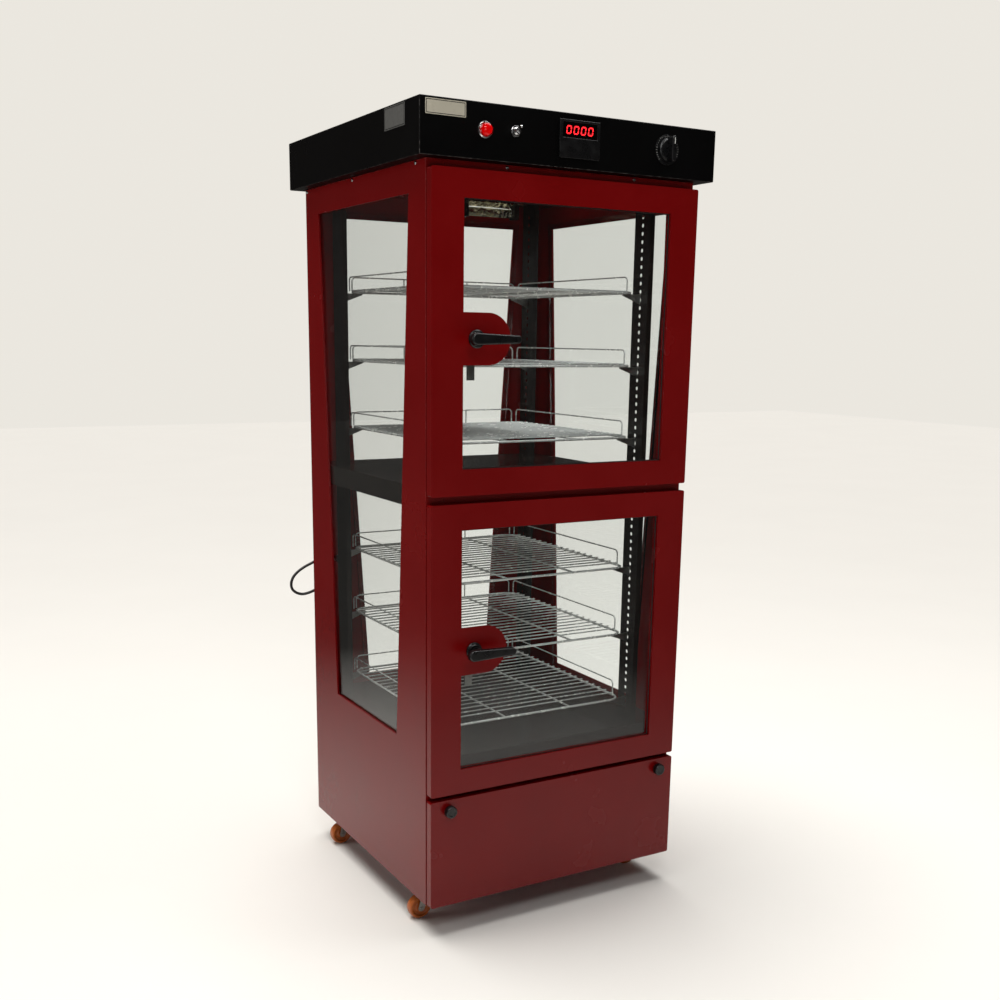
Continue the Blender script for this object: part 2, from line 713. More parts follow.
def easeBetween(low, high, share):
    t = min(max(share, 0.0), 1.0)
    return low + (high - low) * t * t * (3 - 2 * t)


def coilPoints():
    s = cordSet
    made = []
    for i in range(int(s["turns"] * s["pointsPerTurn"]) + 1):
        turn = i / s["pointsPerTurn"]
        angle = math.pi * (1 - 2 * turn)
        lap = turn % 1.0
        radius, height = s["outerTurn"], s["lowTurn"]
        if turn < 1:  # lowest outer turn, stepping inwards at its end
            radius = easeBetween(s["outerTurn"], s["innerTurn"], (lap - 0.87) / 0.13)
        elif turn < 2:  # lowest inner turn, climbing before the end
            radius = s["innerTurn"]
            height = easeBetween(s["lowTurn"], s["highTurn"], (lap - 0.74) / 0.13)
        else:  # upper inner turn, then the upper outer one
            radius = easeBetween(s["innerTurn"], s["outerTurn"], (turn - 2.6) / 0.13)
            height = s["highTurn"]
        x = s["ringCentre"][0] + radius * math.cos(angle)
        y = s["ringCentre"][1] + radius * math.sin(angle)
        made.append((x, y, height))
    return made


def splineLength(points):
    return sum((Vector(b) - Vector(a)).length for a, b in zip(points, points[1:]))


def smoothLine(points, steps=4):
    path = [Vector(p) for p in points]
    made = []
    for i in range(len(path) - 1):
        a, b, c, d = path[max(i - 1, 0)], path[i], path[i + 1], path[min(i + 2, len(path) - 1)]
        for k in range(steps):
            t = k / steps
            bent = (2 * a - 5 * b + 4 * c - d) * t * t + (3 * b - a - 3 * c + d) * t * t * t
            made.append(0.5 * (2 * b + (c - a) * t + bent))
    return made + [path[-1]]


def makeCord():
    s = cordSet
    line = smoothLine(s["route"] + coilPoints() + s["tail"])
    curve = bpy.data.curves.new("mainsCord", "CURVE")
    curve.dimensions = "3D"
    curve.bevel_depth = s["thickness"] / 2
    curve.bevel_resolution = 3
    curve.use_fill_caps = True
    spline = curve.splines.new("POLY")
    spline.points.add(len(line) - 1)
    for point, place in zip(spline.points, line):
        point.co = (*place, 1)
    spline.use_smooth = True
    curve.materials.append(mainsFlex)
    flex = bpy.data.objects.new("mainsCord", curve)
    bpy.context.scene.collection.objects.link(flex)
    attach(flex, "cabinet")
    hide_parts("cord_tube", "cord_coil")
    return flex, splineLength(line)


glandSet = {"flange": 9 * mm, "root": 7 * mm, "tip": 4.4 * mm, "ribs": 5, "ribDepth": 0.9 * mm}


def makeGland():
    s = glandSet
    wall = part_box("back_panel")[1].y
    centre = nodeMiddle("cord_gland")
    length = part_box("cord_gland")[1].y - wall
    profile = scaled((0, -6), (8, -6), (8, 0))
    profile += [(s["flange"], 0), (s["flange"], 4 * mm), (s["root"], 4 * mm)]
    step = (length - 5 * mm) / (2 * s["ribs"])
    for i in range(2 * s["ribs"]):
        share = i / (2 * s["ribs"] - 1)
        reach = s["root"] + (s["tip"] - s["root"]) * share
        height = 4.5 * mm + step * i
        inner = reach - s["ribDepth"] if i % 2 else reach
        profile += [(inner, height), (inner, height + step * 0.8)]
    profile += [(s["tip"], length - 0.4 * mm), (3.3 * mm, length - 0.4 * mm), (0, length - 0.4 * mm)]
    shape = moved(lathe(profile, 0.3 * mm, 40), shift(centre.x, wall, centre.z) @ backward)
    return addPiece("glandPiece", shape, blackMoulding, "cabinet", ["cord_gland"], 50)


def makePlug():
    low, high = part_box("plug")
    axisY, axisZ = (low.y + high.y) / 2, 16 * mm
    along = Matrix.Rotation(math.radians(90), 4, "Y")
    place = shift(high.x - 92 * mm, axisY, axisZ) @ along

    def grip(angle, radius, height):
        ridged = 42 * mm < height < 58 * mm and radius > 12 * mm
        return 1 - (0.05 * (0.5 + 0.5 * math.cos(18 * angle)) if ridged else 0)

    sleeve = [(0, 29 * mm), (3.6 * mm, 29 * mm)]
    for i in range(4):
        base = (30 + 3 * i) * mm
        reach = (4.8 + 1.2 * i) * mm
        sleeve += [(reach, base), (reach, base + 1.8 * mm), (reach - 0.8 * mm, base + 2.2 * mm)]
    body = sleeve + scaled((9, 42), (14, 45), (15.6, 52), (14.6, 60))
    body += scaled((15.8, 64), (15.9, 71), (13, 72), (0, 72))
    shapes = [lathe(body, 0.8 * mm, 72, grip)]
    for x, y, radius, length in ((-8, 0, 3.5, 92), (6, -8, 2.6, 90), (6, 8, 2.6, 90)):
        end = length - 0.1
        pin = lathe(scaled((0, 71), (radius, 71), (radius, end), (0, end)), 0.8 * mm, 20)
        shapes.append(moved(pin, shift(x * mm, y * mm, 0)))
    pins = merged(*shapes[1:])
    grips = moved(shapes[0], place)
    moulding = addPiece("plugBody", grips, blackMoulding, "cabinet", ["plug"], 50)
    brass = addPiece("plugPins", moved(pins, place), polishedTrim, "cabinet", [], 50)
    return moulding, brass


flex, flexLength = makeCord()
glandPiece = makeGland()
plugParts = makePlug()
print("cord laid:", round(flexLength, 3), "m")

# Folded sheet metal, copied from its nodes and given folded and broken edges

sheetSet = {
    "fold": 1.7 * mm,
    "panelFold": 0.6 * mm,
    "doorFold": 1.4 * mm,
    "broken": 0.35 * mm,
    "longEdge": 12 * mm,
}


def onOutside(edge, low, high, reach=1e-5):
    # true for an edge that lies along the corners of the piece's own box
    middle = (edge.verts[0].co + edge.verts[1].co) / 2
    touching = [a for a in range(3) if abs(middle[a] - low[a]) < reach or abs(middle[a] - high[a]) < reach]
    return len(touching) >= 2


def makeSheet(name, nodeName, material, body, fold, frontOnly=False):
    s = sheetSet
    low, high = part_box(nodeName)
    bm = cadShape(nodeName)
    folds = [e for e in sharpEdges(bm, longer=s["longEdge"]) if onOutside(e, low, high)]
    if frontOnly:  # the folds round the front face, clear of the thin edges behind it
        folds = [e for e in folds if max(v.co.y for v in e.verts) < low.y + 1e-5]
    if fold and folds:
        roundEdges(bm, folds, fold, 3)
    roundEdges(bm, sharpEdges(bm, longer=s["longEdge"]), s["broken"], 2)
    return addPiece(name, bm, material, body, [nodeName])


def makeSheets():
    red, black, fold, thin = "red_powder_coat", "chamber_black", sheetSet["fold"], sheetSet["panelFold"]
    for name, nodeName, material, slotName, width in (
        ("leftPanel", "left_side_panel", redPaint, red, thin),
        ("rightPanel", "right_side_panel", redPaint, red, thin),
        ("backPanel", "back_panel", redPaint, red, thin),
        ("frontPosts", "front_frame", redPaint, red, 0),
        ("roofSheet", "cabinet_top", redPaint, red, 0.5 * mm),
        ("basePan", "base_pan", redPaint, red, 1.2 * mm),
        ("chamberDeck", "chamber_deck", ovenEnamel, black, fold),
        ("dividerBox", "mid_divider", ovenEnamel, black, fold),
        ("controlBox", "control_box", blackPaint, "black_powder_coat", fold),
    ):
        makeSheet(name, nodeName, material, "cabinet", width)
    for name, nodeName, body in (
        ("upperDoorFrame", "upper_door_frame", "upper_door"),
        ("lowerDoorFrame", "lower_door_frame", "lower_door"),
        ("bottomCover", "bottom_cover", "bottom_cover"),
    ):
        makeSheet(name, nodeName, redPaint, body, sheetSet["doorFold"], True)
    paintNode("shelf_strips", ovenEnamel)


makeSheets()
print("sheet metal made")

# Glass and its seals

glassSet = {"polish": 0.5 * mm, "sealEdge": 0.3 * mm, "longEdge": 50 * mm}


def makeGlazing():
    s = glassSet
    panes = [("left_glass", "cabinet"), ("right_glass", "cabinet"), ("back_glass", "cabinet")]
    panes += [("upper_door_glass", "upper_door"), ("lower_door_glass", "lower_door")]
    for nodeName, body in panes:
        name = camelName(nodeName) + "Pane"
        copyNode(nodeName, s["polish"], clearGlass, body, name, s["longEdge"])
    for level in ("upper", "lower"):
        nodeName = level + "_door_seal"
        copyNode(nodeName, s["sealEdge"], blackRubber, level + "_door", "", s["longEdge"])


makeGlazing()
print("glazing made")

# Wire shelves, their guard rails and brackets

shelfSet = {
    "wire": 1.5 * mm,
    "rim": 2.5 * mm,
    "rimDrop": 3.5 * mm,
    "rimCorner": 28 * mm,
    "cross": 2 * mm,
    "crossAt": 80 * mm,
    "count": 18,
    "pitch": 24.4 * mm,
    "firstWire": -0.1725,
    "guardHigh": 29 * mm,
    "guardBend": 9 * mm,
    "weld": 1.7 * mm,
    "step": 148.5 * mm,
    "crossDrop": 3 * mm,
    "guardBack": 7 * mm,
    "guardEnd": 9 * mm,
}


def shelfHeights(level):
    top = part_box(level + "_shelves")[1].z - shelfSet["wire"]
    return [top - shelfSet["step"] * i for i in (2, 1, 0)]


def makeShelves(level):
    s = shelfSet
    low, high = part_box(level + "_shelves")
    half = high.x
    front, back = low.y + s["rim"], high.y - s["rim"]
    side = half - s["rim"]
    rims, crosses, starts = [], [], []
    for z in shelfHeights(level):
        rim = z - s["rimDrop"]
        rims.append([(-side, front, rim), (side, front, rim), (side, back, rim), (-side, back, rim)])
        for x in (-s["crossAt"], s["crossAt"]):
            crosses.append([(x, front, z - s["crossDrop"]), (x, back, z - s["crossDrop"])])
        starts.append((-half + 0.2 * mm, s["firstWire"], z))
    rimMesh = wires(rims, s["rim"], s["rimCorner"], chromedWire, 12, True)
    crossMesh = wires(crosses, s["cross"], 0, chromedWire, 10)
    base = bpy.data.meshes.new("starts")
    base.from_pydata(starts, [], [])
    inputs = {
        "Length": 2 * half - 0.4 * mm,
        "Count": s["count"],
        "Pitch": s["pitch"],
        "Wire Radius": s["wire"],
        "Weld Radius": s["weld"],
        "Sides": 8,
        "Finish": chromedWire,
    }
    rowMesh = runTree(wireRow, base, inputs)
    whole = joinMeshes(rimMesh, crossMesh, rowMesh)
    settle(level + "Shelves", whole, "cabinet", [level + "_shelves"], 50, False)


def makeGuards():
    s = shelfSet
    low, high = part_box("guard_rails")
    side = high.x - s["wire"]
    front, back = low.y + s["wire"], high.y - s["wire"]
    lines, rows = [], []
    for level in ("lower", "upper"):
        for z in shelfHeights(level):
            foot = z - s["rimDrop"] + s["rim"]
            top = z + s["guardHigh"]
            end = back - s["guardBack"]
            for x in (-side, side):
                lines.append([(x, front, foot), (x, front, top), (x, end, top), (x, end, foot)])
            ends = side - s["guardEnd"]
            lines.append([(-ends, back, foot), (-ends, back, top), (ends, back, top), (ends, back, foot)])
            for x in (-s["crossAt"], s["crossAt"]):
                rows.append([(x, back, foot), (x, back, top)])
    bent = wires(lines, s["wire"], s["guardBend"], chromedWire, 10)
    posts = wires(rows, s["wire"], 0, chromedWire, 10)
    settle("guardRails", joinMeshes(bent, posts), "cabinet", ["guard_rails"], 50, False)


for level in ("upper", "lower"):
    makeShelves(level)
makeGuards()
copyNode("shelf_brackets", 0.5 * mm, zincPlate, "cabinet")
print("shelves made")

# Hinges and latches

latchSet = {
    "flange": 17 * mm,
    "leverHeel": 19 * mm,
    "heelRadius": 11 * mm,
    "leverTip": 67 * mm,
    "tipRadius": 7.5 * mm,
    "leverThick": 15 * mm,
    "rounding": 3.6 * mm,
    "reach": 42 * mm,
    "barrel": 10 * mm,
    "bore": 5.2 * mm,
    "nut": 16 * mm,
    "nutThick": 5 * mm,
}


def makeHinges():
    for nodeName, body in (
        ("hinge_pins", "cabinet"),
        ("upper_hinge_halves", "upper_door"),
        ("lower_hinge_halves", "lower_door"),
    ):
        copyNode(nodeName, 0.35 * mm, zincPlate, body, angle=1.0)


def arcPoints(x, y, radius, start, end, steps):
    made = []
    for i in range(steps + 1):
        a = math.radians(start + (end - start) * i / steps)
        made.append((x + radius * math.cos(a), y + radius * math.sin(a)))
    return made


def depthBehind(level):
    # from the door's face to the far side of the nut behind the glass
    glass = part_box(level + "_door_glass")[1].y
    return glass + latchSet["nutThick"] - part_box(level + "_door_frame")[0].y


def makeLatch(level):
    s = latchSet
    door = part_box(level + "_door_frame")[0].y
    leverLow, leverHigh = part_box(level + "_lever")
    onDoor = onFrontOf(level + "_door_frame", level + "_latch_base")
    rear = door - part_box(level + "_latch_base")[1].y
    profile = [(s["bore"], rear), (s["barrel"], rear), (s["barrel"], 0)]
    profile += [(s["flange"], 0), (s["flange"], 2.6 * mm)]
    profile += scaled((14.6, 4.4), (13.6, 3.8), (12, 5.9), (5.2, 5.9)) + [(s["bore"], rear)]
    ring = lathe(profile, 0.6 * mm, 56)
    nut = plate(hexagon(s["nut"]), s["nutThick"], 0.7 * mm, 3, -depthBehind(level))
    base = moved(merged(ring, nut), onDoor)
    node = level + "_latch_base"
    addPiece(level + "LatchBase", base, blackMoulding, level + "_door", [node])

    outline = arcPoints(-s["leverHeel"], 0, s["heelRadius"], 88, 272, 16)
    outline += arcPoints(s["leverTip"], 0, s["tipRadius"], -88, 88, 12)
    bar = plate(outline, s["leverThick"], s["rounding"], 5, s["reach"] - s["leverThick"])
    neck = lathe(scaled((0, 6.3), (9, 6.3), (9, 20), (10.4, 27), (10.4, 30), (0, 30)), 1.2 * mm, 40)
    back = -(leverHigh.y - leverLow.y - s["reach"])
    profile = [(0, back), (4.4 * mm, back), (5 * mm, back + 1 * mm)] + scaled((5, 8), (0, 8))
    handle = moved(merged(bar, neck, lathe(profile, 0.2 * mm, 32)), onDoor)
    node = level + "_lever"
    addPiece(level + "LeverGrip", handle, blackMoulding, level + "_latch", [node])
    cap = lathe(scaled((0, -1.5), (5.2, -1.5), (5.2, -0.5), (3.4, -0.1), (0, -0.02)), 0.2 * mm, 28)
    cap = moved(cap, onDoor @ shift(0, 0, s["reach"]))
    addPiece(level + "LeverCap", cap, polishedTrim, level + "_latch", [])
    node = level + "_latch_cam"
    copyNode(node, 0.4 * mm, zincPlate, level + "_latch", longer=3 * mm)


makeHinges()
for level in ("upper", "lower"):
    makeLatch(level)
print("hinges and latches made")

# Thumb screws and small fixings

thumbSet = {"radius": 12.5 * mm, "height": 14 * mm, "ridges": 20}


def makeThumbScrew(side):
    s = thumbSet
    nodeName = side + "_thumb_screw"
    middle = nodeMiddle(nodeName)
    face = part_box(nodeName)[0].y + s["height"]

    def ridged(angle, radius, height):
        if radius < s["radius"] * 0.9 or not 4.4 * mm < height < 12.8 * mm:
            return 1
        return 0.955 + 0.045 * abs(math.cos(s["ridges"] * angle / 2))

    profile = scaled((0, 0), (9.5, 0), (9.5, 3), (12.4, 4.2), (12.5, 4.6), (12.5, 8), (12.5, 12.5))
    profile += scaled((10.8, 13.9), (7.5, 13.9), (6.6, 13.1), (0, 13.1))
    knob = lathe(profile, 0.5 * mm, 120, ridged)
    shank = scaled((0, -24), (2.2, -24))
    for i in range(10):
        shank += scaled((3, -23 + i), (2.55, -22.5 + i))
    shank += scaled((3, -12.6), (3, 0.5), (0, 0.5))
    place = shift(middle.x, face, middle.z) @ forward
    addPiece(side + "ThumbKnob", moved(knob, place), blackMoulding, nodeName, [nodeName])
    thread = moved(lathe(shank, 0, 24), place)
    addPiece(side + "ThumbShank", thread, zincPlate, nodeName, [], 50)


fixingSet = {
    "headRadius": 3.4 * mm,
    "headHeight": 1.9 * mm,
    "underRoof": 5 * mm,
    "sideFront": 41 * mm,
    "sideMiddle": 332 * mm,
    "sideBack": 8 * mm,
    "rearSpread": (-0.27, 0, 0.27),
    "headerSpread": (-0.133, 0.154),
    "boxSpread": (-0.29, 0, 0.29),
    "boxRise": 12 * mm,
}


def screwHead(radius, height):
    # pan head with a cross recess pressed into it
    bm = newShape()
    sides, rows = 24, [(1.0, 0.0), (1.0, 0.35), (0.86, 0.78), (0.6, 0.97)]
    rings = []
    for reach, rise in rows:
        turns = [2 * math.pi * k / sides for k in range(sides)]
        across = radius * reach
        spots = [(across * math.cos(a), across * math.sin(a), height * rise) for a in turns]
        rings.append([bm.verts.new(spot) for spot in spots])
    for one, two in zip(rings, rings[1:]):
        for k in range(sides):
            n = (k + 1) % sides
            bm.faces.new((one[k], one[n], two[n], two[k]))
    cross, floor = [], []
    for k in range(sides):
        a = 2 * math.pi * k / sides
        near = k % 6 in (0, 1, 5)
        reach = radius * (0.5 if near else 0.17)
        cross.append(bm.verts.new((reach * math.cos(a), reach * math.sin(a), height)))
        floor.append(bm.verts.new((reach * 0.8 * math.cos(a), reach * 0.8 * math.sin(a), height * 0.3)))
    for k in range(sides):
        n = (k + 1) % sides
        bm.faces.new((rings[-1][k], rings[-1][n], cross[n], cross[k]))
        bm.faces.new((cross[k], cross[n], floor[n], floor[k]))
    bm.faces.new(floor)
    bm.faces.new(list(reversed(rings[0])))
    bmesh.ops.recalc_face_normals(bm, faces=bm.faces)
    return bm


def makeFixings():
    s = fixingSet
    low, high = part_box("cabinet_top")
    z = high.z - s["underRoof"]
    places = []
    for y in (low.y + s["sideFront"], low.y + s["sideMiddle"], high.y - s["sideBack"]):
        places += [((low.x, y, z), (-1, 0, 0)), ((high.x, y, z), (1, 0, 0))]
    places += [((x, high.y, z), (0, 1, 0)) for x in s["rearSpread"]]
    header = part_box("front_frame")[0].y
    places += [((x, header, z), (0, -1, 0)) for x in s["headerSpread"]]
    heads = scattered(screwHead(s["headRadius"], s["headHeight"]), places, brightScrew, 2 * math.pi, 4)
    settle("panelScrews", heads, "cabinet", [], 40, False)
    boxLow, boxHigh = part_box("control_box")
    lidPlaces = [((x, boxHigh.y, boxLow.z + s["boxRise"]), (0, 1, 0)) for x in s["boxSpread"]]
    lid = scattered(screwHead(s["headRadius"], s["headHeight"]), lidPlaces, blackPaint, 2 * math.pi, 9)
    settle("boxScrews", lid, "cabinet", [], 40, False)


for side in ("left", "right"):
    makeThumbScrew(side)
makeFixings()
print("fixings made")

# Controls on the front of the box

lampSet = {"bezel": 15 * mm, "lens": 11.5 * mm, "skirt": 8 * mm}


def makePilotLamp():
    s = lampSet
    place = onFrontOf("control_box", "pilot_bezel")
    profile = scaled((10.2, -27.5), (11, -27.5), (11, 0)) + [(s["bezel"], 0), (s["bezel"], 1.4 * mm)]
    profile += scaled((13.4, 3.9), (11.8, 3.9), (10.2, 2), (10.2, -27.5))
    bezel = moved(lathe(profile, 0.5 * mm, 64), place)
    addPiece("pilotBezel", bezel, polishedTrim, "cabinet", ["pilot_bezel"])
    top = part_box("control_box")[0].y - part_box("pilot_lens")[0].y
    rise = top - s["skirt"] - 0.05 * mm
    dome = scaled((0, 3.8), (9.9, 3.8), (9.9, 4.2)) + [(s["lens"], 4.2 * mm), (s["lens"], s["skirt"])]
    for i in range(1, 9):
        a = math.radians(90 * i / 9)
        ripple = 0.16 * mm if i % 2 else 0
        dome.append(((s["lens"] - ripple) * math.cos(a), s["skirt"] + rise * math.sin(a)))
    dome.append((0, top - 0.02 * mm))
    lens = moved(lathe(dome, 0.15 * mm, 48), place)
    addPiece("pilotLens", lens, redLensGlass, "cabinet", ["pilot_lens"], 60)
    core = lathe(scaled((0, 4.6), (7.5, 4.6), (8.6, 7), (7, 10.4), (3.6, 12.4), (0, 12.9)), 0.8 * mm, 32)
    addPiece("pilotGlow", moved(core, place), neonGlow, "cabinet", [], 60)


toggleSet = {"thread": 6, "nut": 9.9 * mm, "pivotDepth": 6 * mm, "lean": 70}


def makeToggle():
    s = toggleSet
    place = onFrontOf("control_box", "toggle_body")
    bush = scaled((4.2, -12), (6, -12), (6, 3))
    for i in range(s["thread"]):
        bush += scaled((6, 3.4 + 0.9 * i), (5.55, 3.85 + 0.9 * i))
    bush += scaled((5.2, 8.95), (4.2, 8.95), (4.2, -12))
    nut = plate(hexagon(s["nut"]), 2.6 * mm, 0.5 * mm, 3, 0.8 * mm)
    washer = lathe(scaled((4.5, 0), (9.6, 0), (9.6, 0.8), (4.5, 0.8), (4.5, 0)), 0.1 * mm, 40)
    neck = moved(merged(lathe(bush, 0, 40), nut, washer), place)
    addPiece("toggleBush", neck, polishedTrim, "cabinet", ["toggle_body"])
    case = plate(roundRect(18 * mm, 28 * mm, 1.5 * mm), 22.5 * mm, 0.6 * mm, 2, -32 * mm)
    addPiece("toggleCase", moved(case, place), blackMoulding, "cabinet", [])
    turned = Matrix.Rotation(math.radians(s["lean"] - 90), 4, "X")
    lean = place @ shift(0, 0, s["pivotDepth"]) @ turned
    profile = scaled((0, -3.15), (2.2, -2.4), (3.15, 0), (2.2, 2.3), (1.7, 3.4), (2.8, 14))
    profile += scaled((2.75, 16), (1.6, 17.4), (0, 17.85))
    bat = moved(lathe(profile, 1.0 * mm, 32), lean)
    addPiece("toggleBat", bat, polishedTrim, "toggle_bat", ["toggle_bat"], 60)


displaySet = {
    "digits": 4,
    "digitHigh": 15 * mm,
    "digitWide": 9 * mm,
    "digitStep": 16 * mm,
    "stroke": 2.1 * mm,
    "slant": 0.12,
    "centreX": 1 * mm,
}

def segmentShape(start, end, stroke):
    a, b = Vector(start), Vector(end)
    along = (b - a).normalized()
    across = Vector((-along.y, along.x)) * stroke / 2
    a, b = a + along * 0.35 * mm, b - along * 0.35 * mm
    tip = along * stroke / 2
    return [a, a + tip - across, b - tip - across, b, b - tip + across, a + tip + across]


def makeDisplay():
    s = displaySet
    windowLow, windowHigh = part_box("display_window")
    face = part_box("control_box")[0].y
    copyNode("display_housing", 0.8 * mm, blackMoulding, "cabinet", steps=3)
    middle = (windowLow + windowHigh) / 2
    place = shift(nodeMiddle("display_housing").x, face, middle.z) @ forward
    size = windowHigh - windowLow
    pane = plate(roundRect(size.x, size.z, 1 * mm), size.y, 0.3 * mm, 2, face - windowHigh.y)
    addPiece("displayWindow", moved(pane, place), displayGlass, "cabinet", ["display_window"])
    strokes = []
    w, h = s["digitWide"] / 2, (s["digitHigh"] - s["stroke"]) / 2
    top, bottom = ((-w, h), (w, h)), ((-w, -h), (w, -h))
    sides = [((w, h), (w, 0)), ((w, 0), (w, -h)), ((-w, 0), (-w, -h)), ((-w, h), (-w, 0))]
    for i in range(s["digits"]):  # every digit shows a plain zero
        offset = (i - 1.5) * s["digitStep"]
        for start, end in (top, *sides[:2], bottom, *sides[2:]):
            outline = segmentShape(start, end, s["stroke"])
            slanted = [(p.x + p.y * s["slant"] + offset, p.y) for p in outline]
            strokes.append(plate(slanted, 0.25 * mm, 0.06 * mm, 1, face - windowLow.y))
    digits = moved(merged(*strokes), shift(-s["centreX"], 0, 0) @ place)
    addPiece("displayDigits", digits, digitGlow, "cabinet", [])


dialSet = {
    "radius": 28 * mm,
    "ticks": 27,
    "tickInset": 2.6 * mm,
    "sweep": 270,
    "firstTick": 225,
    "gripReach": 18 * mm,
    "gripRadius": 5.4 * mm,
}


def makeThermostat():
    s = dialSet
    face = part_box("control_box")[0].y
    middle = nodeMiddle("thermostat_dial")
    x, z = middle.x, middle.z
    place = shift(x, face, z) @ forward
    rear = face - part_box("thermostat_dial")[1].y
    disc = lathe([(0, 0), (s["radius"], 0), (s["radius"], 1.4 * mm), (0, 1.4 * mm)], 0.4 * mm, 72)
    can = lathe([(0, rear), (17.8 * mm, rear), (17.8 * mm, -2 * mm), (0, -2 * mm)], 1.2 * mm, 48)
    stem = lathe(scaled((0, -7.9), (4.9, -7.9), (4.9, 0.5), (0, 0.5)), 0.3 * mm, 24)
    dial = moved(merged(disc, can, stem), place)
    addPiece("thermostatDial", dial, blackMoulding, "cabinet", ["thermostat_dial"])
    places = []
    for i in range(s["ticks"]):
        a = math.radians(s["firstTick"] - s["sweep"] * i / (s["ticks"] - 1))
        radius = s["radius"] - s["tickInset"]
        spot = Vector((x + radius * math.cos(a), face - 1.42 * mm, z + radius * math.sin(a)))
        places.append((spot, Euler((math.radians(90), -a, 0), "XYZ")))
    tick = plate(scaled((-1.3, -0.22), (1.3, -0.22), (1.3, 0.22), (-1.3, 0.22)), 0.07 * mm, 0.02 * mm, 1)
    settle("dialTicks", scattered(tick, places, whiteMark), "cabinet", [], 40, False)

    onDial = shift(x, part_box("thermostat_knob")[1].y, z) @ forward

    def skirtWaves(angle, radius, height):
        waved = radius > 19.5 * mm and height > 1 * mm
        return 1 - (0.018 * (0.5 + 0.5 * math.cos(30 * angle)) if waved else 0)

    profile = scaled((0, 0), (22, 0), (22, 1.4), (21.4, 5), (19, 6.4), (18.4, 8.9), (0, 8.9))
    skirt = lathe(profile, 0.7 * mm, 120, skirtWaves)
    grip = arcPoints(0, s["gripReach"], s["gripRadius"], 0, 180, 12)
    grip += arcPoints(0, -s["gripReach"], s["gripRadius"], 180, 360, 12)
    knob = moved(merged(skirt, plate(grip, 19.9 * mm, 1.6 * mm, 4, 4 * mm)), onDial)
    addPiece("thermostatKnob", knob, blackMoulding, "thermostat_knob", ["thermostat_knob"])
    mark = plate(roundRect(1.5 * mm, 12 * mm, 0.7 * mm), 0.12 * mm, 0.04 * mm, 1, 23.85 * mm)
    mark = moved(mark, onDial @ shift(0, 14 * mm, 0))
    addPiece("knobPointer", mark, whiteMark, "thermostat_knob", [])


plateSet = {
    "front": (80 * mm, 26 * mm),
    "frontAt": (-0.276, 80 * mm),
    "side": (86 * mm, 39 * mm),
    "sideAt": (-0.2065, 74.5 * mm),
    "border": 1.2 * mm,
}


def ringPlate(width, height, border, base, depth):
    # the printed line round a plate, as a thin raised ring
    inset = 1.6 * mm
    outer = roundRect(width - 2 * inset, height - 2 * inset, 1.5 * mm)
    inner = roundRect(width - 2 * inset - 2 * border, height - 2 * inset - 2 * border, 1.0 * mm)
    bm = newShape()
    rings = []
    for line in (outer, inner):
        for z in (base, base + depth):
            rings.append([bm.verts.new((p[0], p[1], z)) for p in line])
    for one, two in ((0, 1), (1, 3), (3, 2), (2, 0)):
        for k in range(len(outer)):
            n = (k + 1) % len(outer)
            bm.faces.new((rings[one][k], rings[one][n], rings[two][n], rings[two][k]))
    bmesh.ops.recalc_face_normals(bm, faces=bm.faces)
    return bm


def makeNameplates():
    s = plateSet
    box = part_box("control_box")[0]
    onFront = shift(s["frontAt"][0], box.y, box.z + s["frontAt"][1]) @ forward
    leftward = Matrix.Rotation(math.radians(-90), 4, "Z")
    onSide = shift(box.x, s["sideAt"][0], box.z + s["sideAt"][1]) @ leftward @ forward
    front = moved(plate(roundRect(*s["front"], 2 * mm), 0.7 * mm, 0.2 * mm, 2), onFront)
    flank = moved(plate(roundRect(*s["side"], 2 * mm), 0.5 * mm, 0.15 * mm, 2), onSide)
    addPiece("frontPlate", front, brushedPlate, "cabinet", ["nameplates"])
    addPiece("sidePlate", flank, greyPlate, "cabinet", [])
    lines = [moved(ringPlate(*s["front"], s["border"], 0.66 * mm, 0.08 * mm), onFront)]
    lines.append(moved(ringPlate(*s["side"], s["border"], 0.46 * mm, 0.08 * mm), onSide))
    addPiece("plateBorders", merged(*lines), blackMoulding, "cabinet", [])


makePilotLamp()
makeToggle()
makeDisplay()
makeThermostat()
makeNameplates()
print("controls made")

# Casters

casterSet = {
    "wheel": 25 * mm,
    "width": 20 * mm,
    "plateHalf": 30 * mm,
    "boltAt": 23 * mm,
    "boltDrop": 5.4 * mm,
    "bolt": 4.4 * mm,
}
casterNames = ("front_left", "front_right", "rear_left", "rear_right")


def makeCasterPlates():
    s = casterSet
    copyNode("caster_plates", 0.6 * mm, zincPlate, "cabinet", longer=5 * mm, angle=1.0)
    low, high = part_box("caster_plates")
    places = []
    for x in (low.x + s["plateHalf"], high.x - s["plateHalf"]):
        for y in (low.y + s["plateHalf"], high.y - s["plateHalf"]):
            for dx in (-s["boltAt"], s["boltAt"]):
                for dy in (-s["boltAt"], s["boltAt"]):
                    places.append(((x + dx, y + dy, high.z - s["boltDrop"]), (0, 0, -1)))
    head = plate(hexagon(s["bolt"]), 2.0 * mm, 0.4 * mm, 2)
    settle("casterBolts", scattered(head, places, zincPlate, 1.0, 3), "cabinet", [], 40, False)


def mirrored(profile):
    # the same profile again towards the other side of the wheel, closed on its start
    return profile + [(across, -along) for across, along in reversed(profile)] + profile[:1]


